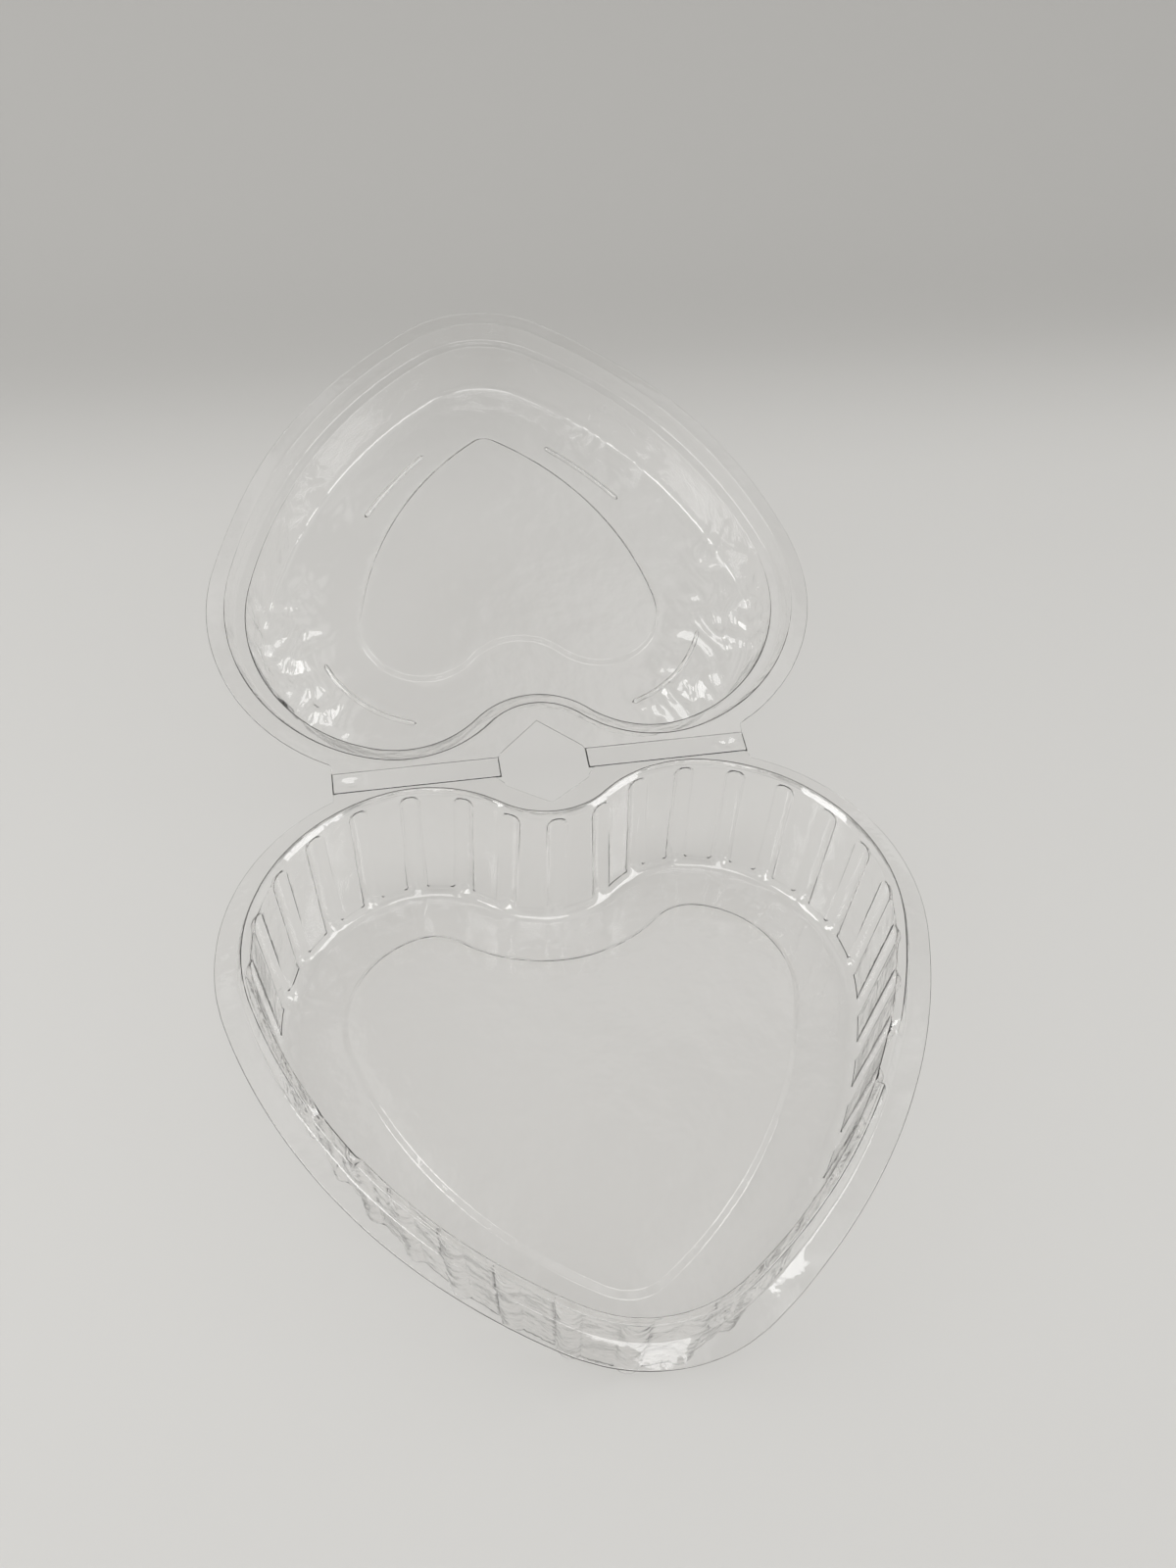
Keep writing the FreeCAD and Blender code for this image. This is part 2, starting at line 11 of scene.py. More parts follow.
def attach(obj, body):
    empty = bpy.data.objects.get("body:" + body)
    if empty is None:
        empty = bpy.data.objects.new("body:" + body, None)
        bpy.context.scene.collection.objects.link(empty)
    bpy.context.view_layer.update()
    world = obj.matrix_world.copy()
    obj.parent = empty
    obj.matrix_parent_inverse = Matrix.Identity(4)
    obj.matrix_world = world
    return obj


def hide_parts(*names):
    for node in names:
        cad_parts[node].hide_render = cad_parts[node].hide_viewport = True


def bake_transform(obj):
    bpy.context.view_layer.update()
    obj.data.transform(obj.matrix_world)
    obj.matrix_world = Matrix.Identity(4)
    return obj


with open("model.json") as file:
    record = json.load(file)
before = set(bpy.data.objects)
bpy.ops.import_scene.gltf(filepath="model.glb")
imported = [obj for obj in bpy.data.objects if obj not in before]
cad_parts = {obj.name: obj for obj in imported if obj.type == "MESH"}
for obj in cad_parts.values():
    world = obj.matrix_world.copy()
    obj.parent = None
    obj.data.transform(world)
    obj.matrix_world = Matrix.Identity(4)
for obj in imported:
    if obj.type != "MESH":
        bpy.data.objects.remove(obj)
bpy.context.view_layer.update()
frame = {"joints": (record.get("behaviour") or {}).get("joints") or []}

MM = 0.001

# The hinge and the flange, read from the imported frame
JOINT = frame["joints"][0]
HINGE_Y = JOINT["pos_m"][1] / MM
PIVOT_Z = JOINT["pos_m"][2] / MM
CLOSING_GAP = 0.3
FLANGE_Z = PIVOT_Z - CLOSING_GAP / 2
LID_OPEN = radians(19.8)
TRAY_SHEET = 0.4
FILM = 0.25

# Heart at the flange's edge: tangent arcs, in distance from the middle plane and the hinge line
OUTER_LOBE = (33.82, 56.65, 56.45)
INNER_LOBE_RADIUS = 42.81
LOBE_CHANGE = 74.94
CLEFT_RADIUS = 14.96
SIDE_RADIUS = 152.34
TIP = (0.0, 124.08, 41.73)

# Smaller heart pressed into the lid's panel
PANEL_LOBE = (27.8, 60.55, 20.51)
PANEL_CLEFT_RADIUS = 18.96
PANEL_SIDE_RADIUS = 98.33
PANEL_TIP = (0.0, 124.02, 7.08)

# Heights of the two sections
RIM_RISE = 3.9
RIM_SHOULDER = 2.6
RING_DROP = 5.1
LID_DEPTH = 21.0
STEP_RISE = 1.3
PANEL_Z = FLANGE_Z - LID_DEPTH

# Insets from the flange's edge at which one zone of the film ends and the next starts
FLANGE_JOIN = 3.6
FLANGE_END = 5.2
CHANNEL_ZONE = (8.6, 14.5)
LID_WALL_START = 11.0
TRAY_FOOT_END = 16.0
TRAY_FOOT_HEIGHT = 12.0

# Stations of the sections: inset, height of the upper face, bend radius
TRAY_SECTION = [
    (FLANGE_JOIN, FLANGE_Z, 0.0),
    (5.4, FLANGE_Z, 0.35),
    (7.0, FLANGE_Z + RIM_RISE, 0.4),
    (7.6, FLANGE_Z + RIM_RISE, 0.3),
    (9.2, FLANGE_Z + RIM_SHOULDER, 0.4),
    (11.9, 2.6, 1.0),
    (12.9, 1.1, 0.8),
    (15.2, TRAY_SHEET, 1.5),
    (27.4, TRAY_SHEET, 0.3),
    (28.9, TRAY_SHEET + STEP_RISE, 0.3),
    (36.0, TRAY_SHEET + STEP_RISE, 0.0),
]
LID_SECTION = [
    (FLANGE_JOIN, FLANGE_Z, 0.0),
    (5.1, FLANGE_Z, 0.3),
    (7.2, FLANGE_Z - RING_DROP, 0.35),
    (10.4, FLANGE_Z - RING_DROP, 0.35),
    (13.7, PANEL_Z, 1.5),
    (19.0, PANEL_Z, 0.0),
]
PANEL_SECTION = [
    (-2.0, PANEL_Z, 0.0),
    (0.5, PANEL_Z, 0.25),
    (1.6, PANEL_Z + STEP_RISE, 0.25),
    (4.4, PANEL_Z + STEP_RISE, 0.0),
]
TALL_STRETCH = 20.0
LID_ROW_SPACING = 2.2

# Channels of the tray's wall, and where across each one the film gets a column of points
CHANNEL_RADIUS = 3.45
CHANNEL_AXIS_IN = 1.7
CHANNEL_PITCH = 13.95
CHANNELS_EACH_SIDE = 17
CHANNEL_MIDDLE_IN = 10.55
CHANNEL_TOP = FLANGE_Z - 0.6
CHANNEL_FOOT = 4.3
CHANNEL_MARKS = (0.6, 1.7, 2.5, 3.0, 3.2, 4.1, 5.2)

# Hinge
CREASE = 3.3
STRAP_INNER = 12.4
STRAP_OUTER = 59.0
OPENING_CORNER = 11.8
TRAY_CORNER = 6.9
TRAY_POINT = 15.0
LID_CORNER = 4.4
LID_POINT = 13.6

# Oval dent near each strap's end: distance from the middle, half its length and width, depth
STRAP_DENT = (54.0, 2.8, 1.3, 0.9)

# Arc-shaped ribs in the lid's panel: centre, radius, start and end angle of the right-hand one
RIB_RADIUS = 0.8
RIBS = [
    ((-58.32, 30.09), 123.2, 35.8, 50.3),
    ((23.3, 63.35), 38.07, -74.6, -21.3),
]

# Snap notch in the tray's rim: middle and half its length, the right-hand one of the pair
RIM_NOTCHES = [(66.2, 108.2, 9.8)]
NOTCH_RAMP = 2.4
NOTCH_SHARE = 0.6

# Middles of the tray's floor and of the lid's panel, and the distance from the hinge that the lid's
# dents lean towards
TRAY_MIDDLE = (0.0, 84.0)
PANEL_MIDDLE = (0.0, 80.0)
LID_DENT_MIDDLE_Y = 72.0

# Where the film has been bent by handling: place in the half's own plane, reach and depth
SAG_START = 16.0
SAG_RAMP = 20.0
WAVE = 0.25
TRAY_SAGS = [
    (-20.0, 165.0, 20.0, 2.4), (52.0, 128.0, 34.0, 0.8), (-66.0, 114.0, 4.0, 0.45),
    (-30.0, 157.0, 6.0, 0.9), (-90.0, 66.0, 20.0, 0.7), (90.0, 60.0, 26.0, 0.7),
]
LID_SAGS = [
    (-84.0, 84.0, 22.0, 1.0), (88.0, 66.0, 24.0, 1.1), (40.0, 148.0, 22.0, 0.9),
    (-30.0, 154.0, 16.0, 0.8),
]
TRAY_DENTS = [(74.0, 40.0, 9.0, 1.4), (-58.0, 118.0, 8.0, 0.8)]
LID_DENTS = [
    (-70.0, 54.0, 13.0, 2.6), (-64.0, 34.0, 10.0, 2.3), (-64.0, 76.0, 7.0, 1.4),
    (66.0, 52.0, 13.0, 2.8), (50.0, 30.0, 11.0, 2.7), (68.0, 78.0, 7.0, 1.3),
    (34.0, 128.0, 9.0, 0.8), (46.0, 112.0, 6.0, 0.8), (-46.0, 104.0, 9.0, 0.5),
]

# Table and the backdrop it curves up into, in metres
TABLE_HALF_WIDTH = 2.0
TABLE_FRONT = -1.2
CURVE_START = 0.30
CURVE_RADIUS = 0.25
CURVE_TURN = radians(75)
CURVE_STEPS = 16
BACKDROP_LENGTH = 0.9


def side_centre(lobe, tip, radius):
    """Centre of the side arc that touches the lobe's arc and the tip's arc from outside."""
    to_lobe = radius - lobe[2]
    to_tip = radius - tip[2]
    across = hypot(tip[0] - lobe[0], tip[1] - lobe[1])
    along = (to_lobe ** 2 - to_tip ** 2 + across ** 2) / (2 * across)
    off = sqrt(to_lobe ** 2 - along ** 2)
    ux = (tip[0] - lobe[0]) / across
    uy = (tip[1] - lobe[1]) / across
    return lobe[0] + ux * along - uy * off, lobe[1] + uy * along + ux * off


def bearing(start, end):
    """Direction from one point to another, in degrees."""
    return degrees(atan2(end[1] - start[1], end[0] - start[0]))


def pack_heart():
    """Right half of the flange edge as arcs: centre, radius, start and end angle, inward sign."""
    lobe = OUTER_LOBE
    turn = radians(LOBE_CHANGE)
    shift = lobe[2] - INNER_LOBE_RADIUS
    inner = (lobe[0] + shift * cos(turn), lobe[1] - shift * sin(turn))
    reach = INNER_LOBE_RADIUS + CLEFT_RADIUS
    cleft = (0.0, inner[1] - sqrt(reach ** 2 - inner[0] ** 2))
    side = side_centre(lobe, TIP, SIDE_RADIUS)
    to_inner = bearing(cleft, inner)
    to_outer = bearing(side, lobe)
    to_tip = bearing(side, TIP)
    return [
        (cleft, CLEFT_RADIUS, 90.0, to_inner, 1),
        (inner, INNER_LOBE_RADIUS, to_inner - 180, -LOBE_CHANGE, -1),
        (lobe[:2], lobe[2], -LOBE_CHANGE, to_outer, -1),
        (side, SIDE_RADIUS, to_outer, to_tip, -1),
        (TIP[:2], TIP[2], to_tip, 90.0, -1),
    ]


def panel_heart():
    """Right half of the heart in the lid's panel, as arcs."""
    lobe = PANEL_LOBE
    reach = lobe[2] + PANEL_CLEFT_RADIUS
    cleft = (0.0, lobe[1] - sqrt(reach ** 2 - lobe[0] ** 2))
    side = side_centre(lobe, PANEL_TIP, PANEL_SIDE_RADIUS)
    to_lobe = bearing(cleft, lobe)
    to_side = bearing(side, lobe)
    to_tip = bearing(side, PANEL_TIP)
    return [
        (cleft, PANEL_CLEFT_RADIUS, 90.0, to_lobe, 1),
        (lobe[:2], lobe[2], to_lobe - 180, to_side, -1),
        (side, PANEL_SIDE_RADIUS, to_side, to_tip, -1),
        (PANEL_TIP[:2], PANEL_TIP[2], to_tip, 90.0, -1),
    ]


class Heart:
    """Points of a heart and of every outline inside it, by distance round it from the cleft."""

    def __init__(self, arcs, middle):
        """The distance is measured on the outline that lies this far inside the arcs."""
        self.arcs = arcs
        self.lengths = []
        for centre, radius, start, end, sign in arcs:
            self.lengths.append((radius + sign * middle) * radians(abs(end - start)))
        self.half = sum(self.lengths)

    def point(self, along, inset):
        """Point at a distance round the middle outline, moved in from the flange's edge."""
        left = min(abs(along), self.half)
        for arc, length in zip(self.arcs, self.lengths):
            if left <= length or arc is self.arcs[-1]:
                break
            left -= length
        centre, radius, start, end, sign = arc
        turn = radians(start + (end - start) * left / length)
        reach = radius + sign * inset
        x = centre[0] + reach * cos(turn)
        y = centre[1] + reach * sin(turn)
        return (x if along >= 0 else -x), y


def rounded(corners, steps=3):
    """Section line through its stations, each bend rounded: stations are inset, height, radius."""
    line = [corners[0][:2]]
    for before, here, after in zip(corners, corners[1:], corners[2:]):
        here_point = np.array(here[:2], float)
        back = np.array(before[:2], float) - here_point
        ahead = np.array(after[:2], float) - here_point
        back_length = np.linalg.norm(back)
        ahead_length = np.linalg.norm(ahead)
        reach = min(here[2], back_length * 0.45, ahead_length * 0.45)
        first = here_point + back / back_length * reach
        last = here_point + ahead / ahead_length * reach
        for step in range(steps + 1):
            t = step / steps
            place = (1 - t) ** 2 * first + 2 * t * (1 - t) * here_point + t * t * last
            line.append(tuple(place))
    line.append(corners[-1][:2])
    return line


def divided(line, longest):
    """The same line with no stretch longer than given."""
    out = [line[0]]
    for first, last in zip(line, line[1:]):
        length = hypot(last[0] - first[0], last[1] - first[1])
        count = max(1, int(np.ceil(length / longest)))
        for step in range(1, count + 1):
            t = step / count
            out.append((first[0] + (last[0] - first[0]) * t, first[1] + (last[1] - first[1]) * t))
    return out


def tray_columns(heart):
    """Distances round the heart at which the tray gets a column of points."""
    stops = []
    for count in range(-CHANNELS_EACH_SIDE, CHANNELS_EACH_SIDE + 1):
        for mark in CHANNEL_MARKS:
            stops.append(count * CHANNEL_PITCH - mark)
            stops.append(count * CHANNEL_PITCH + mark)
    stops = [stop for stop in stops if abs(stop) < heart.half - 0.4]
    stops.append(heart.half)
    return sorted(stops)


def back_edge(heart, corner, point):
    """Corners of the right half's back edge, opening, crease and strap end, by distance round."""
    spots = []
    for along in np.arange(0, heart.half, 0.1):
        x, y = heart.point(along, 0.0)
        spots.append((along, x, y))
    spots = np.array(spots)
    lobe = spots[spots[:, 0] < heart.half * 0.45]

    def at_x(x):
        return lobe[np.argmin(abs(lobe[:, 1] - x))]

    inner = at_x(OPENING_CORNER - 2.0)
    start = at_x(STRAP_INNER + 1.0)
    end = at_x(STRAP_OUTER - 2.5)
    meet = at_x(STRAP_OUTER)
    return [
        (0.0, 0.0, point),
        (inner[0], OPENING_CORNER, corner),
        (start[0], STRAP_INNER, CREASE),
        (end[0], STRAP_OUTER, CREASE),
        (meet[0], meet[1], meet[2]),
    ]


def edge_point(heart, edge, along):
    """Outer edge of the sheet for one column."""
    here = abs(along)
    if here >= edge[-1][0]:
        return heart.point(along, 0.0)
    for first, last in zip(edge, edge[1:]):
        if here <= last[0]:
            t = (here - first[0]) / (last[0] - first[0])
            x = first[1] + (last[1] - first[1]) * t
            y = first[2] + (last[2] - first[2]) * t
            return (x if along >= 0 else -x), y


def filled(row, middle):
    """Rows that carry a closed outline in to its middle, to fill a flat panel."""
    rows = []
    for share in (0.92, 0.8, 0.65, 0.48, 0.3, 0.14, 0.04):
        inner = []
        for x, y, z in row:
            inner.append((middle[0] + (x - middle[0]) * share,
                          middle[1] + (y - middle[1]) * share, z))
        rows.append(inner)
    return rows


def sheet_object(name, points, faces, materials):
    """Thin closed sheet: a surface of points given thickness on its lower side."""
    mesh = bpy.data.meshes.new(name)
    mesh.from_pydata([tuple(p) for p in np.array(points) * MM], [], faces)
    mesh.update()
    for polygon in mesh.polygons:
        polygon.use_smooth = True
    for material in materials:
        mesh.materials.append(material)
    obj = bpy.data.objects.new(name, mesh)
    bpy.context.scene.collection.objects.link(obj)
    solid = obj.modifiers.new("Film", "SOLIDIFY")
    solid.material_offset_rim = 1
    solid.thickness = FILM * MM
    solid.offset = -1.0
    solid.use_even_offset = False
    return obj


def grid_faces(rows, columns):
    """Quads of a grid that closes on itself, its points stored row by row, and its last row filled."""
    faces = []
    for row in range(rows - 1):
        for column in range(columns):
            after = (column + 1) % columns
            a = row * columns + column
            b = row * columns + after
            c = (row + 1) * columns + after
            d = (row + 1) * columns + column
            faces.append((a, b, c, d))
    last = (rows - 1) * columns
    faces.append(tuple(range(last, last + columns)))
    return faces


def channel_depth(heart, along, inset, height):
    """How far a point of the tray's wall is pressed outwards by the nearest channel."""
    count = round(along / CHANNEL_PITCH)
    if abs(count) > CHANNELS_EACH_SIDE:
        return 0.0
    x0, y0 = heart.point(count * CHANNEL_PITCH, inset)
    x1, y1 = heart.point(along, inset)
    across = hypot(x1 - x0, y1 - y0)
    beyond = 0.0
    if height > CHANNEL_TOP:
        beyond = height - CHANNEL_TOP
    if height < CHANNEL_FOOT:
        beyond = CHANNEL_FOOT - height
    left = CHANNEL_RADIUS ** 2 - across ** 2 - beyond ** 2
    if left <= 0:
        return 0.0
    return max(0.0, sqrt(left) - CHANNEL_AXIS_IN)


def hill(x, y, spot_x, spot_y, reach):
    """Smooth hill of height one round a spot."""
    return exp(-((x - spot_x) ** 2 + (y - spot_y) ** 2) / reach ** 2)


def sagged(x, y, inset, sags):
    """How far the flange hangs below its flat plane; nothing at the hinge and at the rim."""
    loose = max(0.0, 1.0 - inset / FLANGE_END) * min(1.0, max(0.0, (y - SAG_START) / SAG_RAMP))
    drop = WAVE + WAVE * sin(0.11 * x + 0.05 * y)
    for spot_x, spot_y, reach, depth in sags:
        drop += depth * hill(x, y, spot_x, spot_y, reach)
    return drop * loose


def dented(x, y, z, dents, middle_y):
    """A point moved up and towards the middle of its half by the creased dents near it."""
    push = 0.0
    for spot_x, spot_y, reach, depth in dents:
        push += depth * hill(x, y, spot_x, spot_y, reach)
    push *= 0.45 + sin(0.62 * x + 1.5 * sin(0.27 * y)) * cos(0.34 * y + 1.7 * sin(0.41 * x))
    away = hypot(x, y - middle_y)
    return x - 0.5 * push * x / away, y - 0.5 * push * (y - middle_y) / away, z + 0.6 * push


def notched(x, y):
    """One inside a snap notch, nothing outside it, with a short ramp."""
    best = 0.0
    for spot_x, spot_y, half in RIM_NOTCHES:
        away = hypot(abs(x) - spot_x, y - spot_y)
        best = max(best, min(1.0, max(0.0, (half - away) / NOTCH_RAMP)))
    return best * best * (3.0 - 2.0 * best)


def flange_rows(heart, columns, edge, sags):
    """The flange from its outer edge to where the formed section starts."""
    rows = []
    for step in range(4):
        row = []
        for along in columns:
            ox, oy = edge_point(heart, edge, along)
            ix, iy = heart.point(along, FLANGE_JOIN)
            rim = min(0.3, 0.3 / max(0.1, hypot(ix - ox, iy - oy)))
            share = (0.0, rim, 0.4, 0.7)[step]
            x = ox + (ix - ox) * share
            y = oy + (iy - oy) * share
            row.append((x, y, FLANGE_Z - sagged(x, y, FLANGE_JOIN * share, sags)))
        rows.append(row)
    return rows


def wall_heights(first, last):
    """Heights at which the tray's wall gets a row of points, close together at channel ends."""
    heights = list(np.linspace(first, CHANNEL_TOP - 1.0, 9))
    heights += list(np.linspace(CHANNEL_TOP - 7.0, CHANNEL_FOOT + 3.0, 5))
    heights += list(np.linspace(CHANNEL_FOOT + 1.0, last, 6))
    return heights


def tray_line():
    """The tray's section with extra points down its wall."""
    line = rounded(TRAY_SECTION)
    fine = []
    for first, last in zip(line, line[1:]):
        if abs(last[1] - first[1]) > TALL_STRETCH:
            for height in wall_heights(first[1], last[1]):
                t = (height - first[1]) / (last[1] - first[1])
                fine.append((first[0] + (last[0] - first[0]) * t, height))
        else:
            fine.append(first)
    fine.append(line[-1])
    return fine


def tray_point(heart, along, inset, height):
    """One point of the tray's film, with its channel, notch, sag or dent."""
    depth = 0.0
    if CHANNEL_ZONE[0] < inset < CHANNEL_ZONE[1]:
        depth = channel_depth(heart, along, inset, height)
    x, y = heart.point(along, inset - depth)
    if height > FLANGE_Z + 0.01:
        return x, y, height - NOTCH_SHARE * (height - FLANGE_Z) * notched(x, y)
    if inset < FLANGE_END:
        return x, y, height - sagged(x, y, inset, TRAY_SAGS)
    if height < TRAY_FOOT_HEIGHT and inset < TRAY_FOOT_END:
        return dented(x, y, height, TRAY_DENTS, TRAY_MIDDLE[1])
    return x, y, height


def make_tray(materials):
    """The tray's film, from its flange's edge to the middle of its floor."""
    heart = Heart(pack_heart(), CHANNEL_MIDDLE_IN)
    columns = tray_columns(heart)
    rows = flange_rows(heart, columns, back_edge(heart, TRAY_CORNER, TRAY_POINT), TRAY_SAGS)
    for inset, height in tray_line():
        rows.append([tray_point(heart, along, inset, height) for along in columns])
    rows += filled(rows[-1], TRAY_MIDDLE)
    points = [(-x, HINGE_Y - y, z) for row in rows for x, y, z in row]
    return sheet_object("tray_film", points, grid_faces(len(rows), len(columns)), materials)


def lid_point(heart, along, inset, height):
    """One point of the lid's flange, ring, ledge or wall, with its sag or dent."""
    x, y = heart.point(along, inset)
    if inset < FLANGE_END:
        return x, y, height - sagged(x, y, inset, LID_SAGS)
    if inset > LID_WALL_START:
        return dented(x, y, height, LID_DENTS, LID_DENT_MIDDLE_Y)
    return x, y, height


def lid_rows(heart, columns):
    """The lid's film row by row, from the flange's edge to the middle of its panel."""
    small = Heart(panel_heart(), 0.0)
    places = [column * heart.half for column in columns]
    rows = flange_rows(heart, places, back_edge(heart, LID_CORNER, LID_POINT), LID_SAGS)
    for inset, height in divided(rounded(LID_SECTION), LID_ROW_SPACING):
        rows.append([lid_point(heart, along, inset, height) for along in places])
    outer = [heart.point(along, LID_SECTION[-1][0]) for along in places]
    inner = [small.point(column * small.half, PANEL_SECTION[0][0]) for column in columns]
    for share in (0.04, 0.09, 0.14, 0.2, 0.27, 0.35, 0.44, 0.54, 0.65, 0.78, 0.9):
        row = []
        for near, far in zip(outer, inner):
            x = near[0] + (far[0] - near[0]) * share
            y = near[1] + (far[1] - near[1]) * share
            row.append(dented(x, y, PANEL_Z, LID_DENTS, LID_DENT_MIDDLE_Y))
        rows.append(row)
    for inset, height in rounded(PANEL_SECTION):
        rows.append([small.point(column * small.half, inset) + (height,) for column in columns])
    return rows + filled(rows[-1], PANEL_MIDDLE)


def add_rib(points, faces, side, rib):
    """A low half-round rib along an arc, tapered at its ends, standing on the lid's panel."""
    centre, radius, start, end = rib
    first = len(points)
    along = 48
    across = 8
    for step in range(along + 1):
        t = step / along
        turn = radians(start + (end - start) * t)
        taper = sqrt(min(1.0, 40.0 * min(t, 1.0 - t) + 0.02))
        for count in range(across + 1):
            lean = radians(180.0 * count / across)
            reach = radius + RIB_RADIUS * taper * cos(lean)
            height = PANEL_Z + RIB_RADIUS * taper * sin(lean) + 0.02
            points.append((side * (centre[0] + reach * cos(turn)),
                           centre[1] + reach * sin(turn), height))
    for step in range(along):
        for count in range(across):
            a = first + step * (across + 1) + count
            quad = (a, a + across + 1, a + across + 2, a + 1)
            faces.append(quad if side > 0 else quad[::-1])


def make_lid(materials):
    """The lid's film with its ribs, turned up about the hinge by its open angle."""
    heart = Heart(pack_heart(), CHANNEL_MIDDLE_IN)
    columns = list(np.linspace(-1.0, 1.0, 361)[1:])
    for stop in back_edge(heart, LID_CORNER, LID_POINT):
        for sign in (1, -1):
            place = sign * stop[0] / heart.half
            columns[int(np.argmin([abs(column - place) for column in columns]))] = place
    rows = lid_rows(heart, columns)
    points = [point for row in rows for point in row]
    faces = grid_faces(len(rows), len(columns))
    for rib in RIBS:
        for side in (-1, 1):
            add_rib(points, faces, side, rib)
    opened = []
    for x, y, z in points:
        rise = z - PIVOT_Z
        opened.append((x, HINGE_Y + y * cos(LID_OPEN) - rise * sin(LID_OPEN),
                       PIVOT_Z + y * sin(LID_OPEN) + rise * cos(LID_OPEN)))
    return sheet_object("lid_film", opened, faces, materials)


def make_straps(materials):
    """Both hinge straps as one film between the two creases, drawn at the lid's open angle."""
    points = []
    faces = []
    across = 60
    rows = 12
    far_y = CREASE * cos(LID_OPEN)
    far_rise = CREASE * sin(LID_OPEN)
    dent_x, dent_length, dent_width, dent_depth = STRAP_DENT
    for side in (-1, 1):
        first = len(points)
        for row in range(rows + 1):
            t = row / rows
            for column in range(across + 1):
                x = STRAP_INNER + (STRAP_OUTER - STRAP_INNER) * column / across
                y = -CREASE + (far_y + CREASE) * t
                z = FLANGE_Z + far_rise * t
                z -= dent_depth * hill((x - dent_x) / dent_length, y / dent_width, 0.0, 0.0, 1.0)
                points.append((side * x, HINGE_Y + y, z))
        for row in range(rows):
            for column in range(across):
                a = first + row * (across + 1) + column
                quad = (a, a + 1, a + across + 2, a + across + 1)
                faces.append(quad if side > 0 else quad[::-1])
    return sheet_object("hinge_film", points, faces, materials)


def clear_film(name, faint):
    """Clear formed film: refracting, glossy, with a faint unevenness from forming.

    Light from lamps and light that leaves the table pass it, weakened where it stands edge on.
    A faint film shows only part of its gloss, as the cut edge does.
    """
    material = bpy.data.materials.new(name)
    material.use_nodes = True
    nodes = material.node_tree.nodes
    links = material.node_tree.links
    nodes.clear()
    out = nodes.new("ShaderNodeOutputMaterial")
    shader = nodes.new("ShaderNodeBsdfPrincipled")
    shader.inputs["Base Color"].default_value = (1.0, 0.998, 0.995, 1.0)
    shader.inputs["Roughness"].default_value = 0.03
    shader.inputs["IOR"].default_value = 1.5
    shader.inputs["Transmission Weight"].default_value = 1.0
    where = nodes.new("ShaderNodeTexCoord")
    fine = nodes.new("ShaderNodeTexNoise")
    fine.inputs["Scale"].default_value = 260.0
    fine.inputs["Detail"].default_value = 2.0
    broad = nodes.new("ShaderNodeTexNoise")
    broad.inputs["Scale"].default_value = 38.0
    broad.inputs["Detail"].default_value = 3.0
    small = nodes.new("ShaderNodeBump")
    small.inputs["Strength"].default_value = 0.16
    small.inputs["Distance"].default_value = 0.0006
    large = nodes.new("ShaderNodeBump")
    large.inputs["Strength"].default_value = 0.35
    large.inputs["Distance"].default_value = 0.0016
    links.new(where.outputs["Object"], fine.inputs["Vector"])
    links.new(where.outputs["Object"], broad.inputs["Vector"])
    links.new(fine.outputs["Fac"], small.inputs["Height"])
    links.new(broad.outputs["Fac"], large.inputs["Height"])
    links.new(large.outputs["Normal"], small.inputs["Normal"])
    links.new(small.outputs["Normal"], shader.inputs["Normal"])
    rays = nodes.new("ShaderNodeLightPath")
    facing = nodes.new("ShaderNodeLayerWeight")
    facing.inputs["Blend"].default_value = 0.3
    through = nodes.new("ShaderNodeMixRGB")
    through.inputs[1].default_value = (0.996, 0.994, 0.992, 1.0)
    through.inputs[2].default_value = (0.85, 0.85, 0.85, 1.0)
    clear = nodes.new("ShaderNodeBsdfTransparent")
    links.new(facing.outputs["Facing"], through.inputs["Fac"])
    links.new(through.outputs["Color"], clear.inputs["Color"])
    seen = nodes.new("ShaderNodeMixShader")
    bounced = nodes.new("ShaderNodeMixShader")
    lit = nodes.new("ShaderNodeMixShader")
    seen.inputs["Fac"].default_value = faint
    bare = nodes.new("ShaderNodeBsdfTransparent")
    links.new(shader.outputs["BSDF"], seen.inputs[1])
    links.new(bare.outputs["BSDF"], seen.inputs[2])
    links.new(rays.outputs["Is Diffuse Ray"], bounced.inputs["Fac"])
    links.new(seen.outputs["Shader"], bounced.inputs[1])
    links.new(clear.outputs["BSDF"], bounced.inputs[2])
    links.new(rays.outputs["Is Shadow Ray"], lit.inputs["Fac"])
    links.new(bounced.outputs["Shader"], lit.inputs[1])
    links.new(clear.outputs["BSDF"], lit.inputs[2])
    links.new(lit.outputs["Shader"], out.inputs["Surface"])
    return material


def table_surface():
    """White board with painted shade: its colour darkens where it rises behind the pack, turned away
    from the lamps.
    """
    material = bpy.data.materials.new("table")
    material.use_nodes = True
    nodes = material.node_tree.nodes
    links = material.node_tree.links
    shader = nodes["Principled BSDF"]
    shader.inputs["Roughness"].default_value = 0.9
    where = nodes.new("ShaderNodeNewGeometry")
    parts = nodes.new("ShaderNodeSeparateXYZ")
    share = nodes.new("ShaderNodeMapRange")
    share.interpolation_type = "SMOOTHSTEP"
    share.inputs["From Min"].default_value = 0.17
    share.inputs["From Max"].default_value = 0.36
    # Painted shade: the board's colour darkens from 0.17 m to 0.36 m back, towards where it curves up
    # into the backdrop
    ramp = nodes.new("ShaderNodeValToRGB")
    ramp.color_ramp.elements[0].color = (0.61, 0.603, 0.587, 1.0)
    ramp.color_ramp.elements[1].color = (0.45, 0.443, 0.428, 1.0)
    links.new(where.outputs["Position"], parts.inputs["Vector"])
    links.new(parts.outputs["Y"], share.inputs["Value"])
    links.new(share.outputs["Result"], ramp.inputs["Fac"])
    links.new(ramp.outputs["Color"], shader.inputs["Base Color"])
    return material


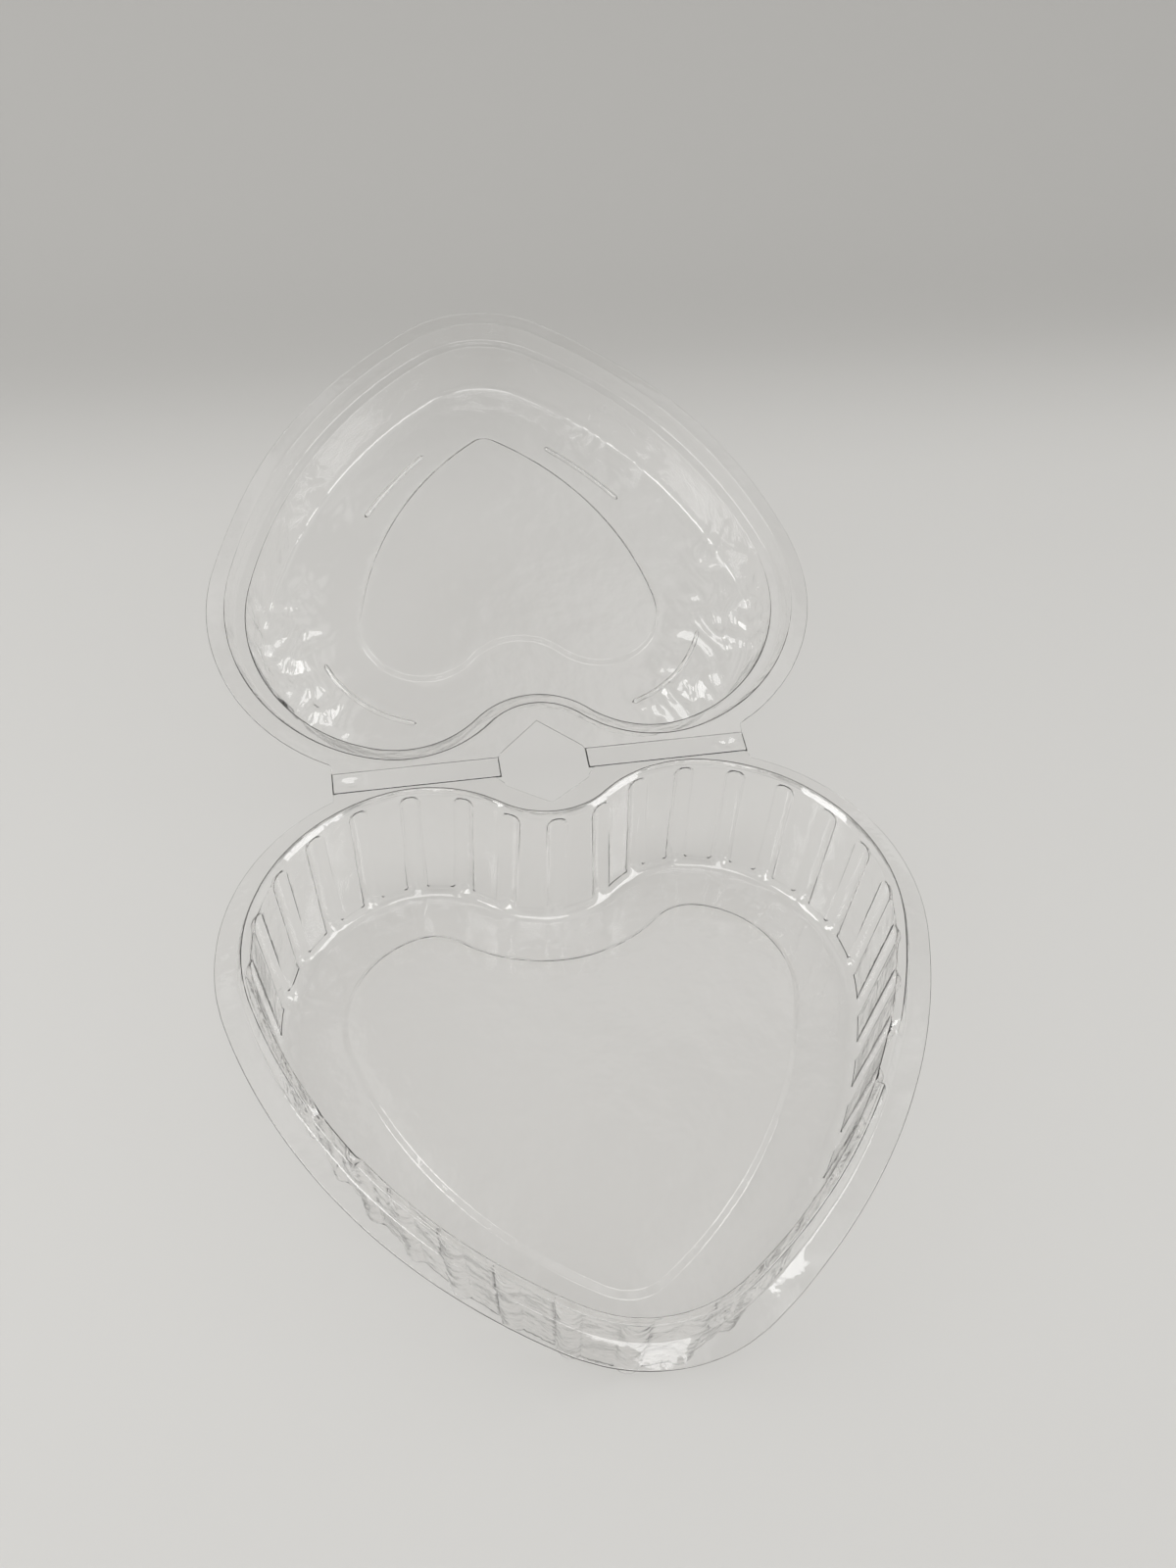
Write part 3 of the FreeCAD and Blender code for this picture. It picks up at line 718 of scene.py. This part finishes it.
def make_table(material):
    """Table and the backdrop it curves up into behind the pack."""
    line = [(TABLE_FRONT, 0.0), (CURVE_START, 0.0)]
    for step in range(1, CURVE_STEPS + 1):
        turn = CURVE_TURN * step / CURVE_STEPS
        line.append((CURVE_START + CURVE_RADIUS * sin(turn), CURVE_RADIUS - CURVE_RADIUS * cos(turn)))
    end = line[-1]
    line.append((end[0] + BACKDROP_LENGTH * cos(CURVE_TURN), end[1] + BACKDROP_LENGTH * sin(CURVE_TURN)))
    points = []
    for y, z in line:
        points.append((-TABLE_HALF_WIDTH, y, z))
        points.append((TABLE_HALF_WIDTH, y, z))
    faces = []
    for row in range(len(line) - 1):
        a = 2 * row
        faces.append((a, a + 1, a + 3, a + 2))
    mesh = bpy.data.meshes.new("table")
    mesh.from_pydata(points, [], faces)
    for polygon in mesh.polygons:
        polygon.use_smooth = True
    mesh.materials.append(material)
    obj = bpy.data.objects.new("table", mesh)
    bpy.context.scene.collection.objects.link(obj)


def area_light(name, place, target, size, power):
    """Rectangular lamp at a place, turned to its target."""
    data = bpy.data.lights.new(name, "AREA")
    data.shape = "RECTANGLE"
    data.size = size[0]
    data.size_y = size[1]
    data.energy = power
    obj = bpy.data.objects.new(name, data)
    obj.location = place
    aim = Vector(target) - Vector(place)
    obj.rotation_euler = aim.to_track_quat("-Z", "Y").to_euler()
    bpy.context.scene.collection.objects.link(obj)


def make_lights():
    """A lamp on either side, one above, and a dim room of soft light and dark patches."""
    area_light("left_box", (-0.75, -0.10, 0.75), (0, 0, 0.03), (0.4, 0.6), 3.8)
    area_light("right_box", (0.75, -0.25, 0.75), (0, 0, 0.03), (0.4, 0.6), 2.75)
    area_light("top_box", (0.0, -0.35, 1.3), (0, 0, 0), (0.7, 0.5), 3.0)
    world = bpy.data.worlds.new("room")
    world.use_nodes = True
    bpy.context.scene.world = world
    nodes = world.node_tree.nodes
    links = world.node_tree.links
    sky = nodes["Background"]
    sky.inputs["Strength"].default_value = 1.0
    where = nodes.new("ShaderNodeTexCoord")
    patches = nodes.new("ShaderNodeTexNoise")
    patches.inputs["Scale"].default_value = 2.4
    patches.inputs["Detail"].default_value = 1.0
    ramp = nodes.new("ShaderNodeValToRGB")
    ramp.color_ramp.elements[0].position = 0.4
    ramp.color_ramp.elements[0].color = (0.22, 0.22, 0.215, 1.0)
    ramp.color_ramp.elements[1].position = 0.6
    ramp.color_ramp.elements[1].color = (0.78, 0.775, 0.765, 1.0)
    links.new(where.outputs["Generated"], patches.inputs["Vector"])
    links.new(patches.outputs["Fac"], ramp.inputs["Fac"])
    links.new(ramp.outputs["Color"], sky.inputs["Color"])


def make_camera():
    """Camera at the photograph's place: its right, up and forward directions in the frame."""
    right = Vector((0.98150, -0.18642, 0.04370))
    up = Vector((0.10697, 0.72316, 0.68235))
    ahead = Vector((0.15881, 0.66505, -0.72972))
    place = Vector((-45.14, HINGE_Y - 244.56, 257.74 + FLANGE_Z)) * MM
    data = bpy.data.cameras.new("camera")
    data.sensor_fit = "HORIZONTAL"
    data.sensor_width = 36.0
    data.lens = 38.729
    data.clip_start = 0.01
    obj = bpy.data.objects.new("camera", data)
    turn = Matrix((right, up, -ahead)).transposed().to_4x4()
    obj.matrix_world = Matrix.Translation(place) @ turn
    bpy.context.scene.collection.objects.link(obj)
    bpy.context.scene.camera = obj


film = [clear_film("clear_film", 0.0), clear_film("film_edge", 0.15)]
tray = make_tray(film)
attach(tray, "tray")
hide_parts("tray")
lid = make_lid(film)
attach(lid, "lid")
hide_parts("lid")
straps = make_straps([film[0], clear_film("hinge_edge", 0.6)])
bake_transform(straps)
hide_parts("hinge_strap_left", "hinge_strap_right")
make_table(table_surface())
make_lights()
make_camera()
bpy.context.scene.view_settings.view_transform = "Standard"
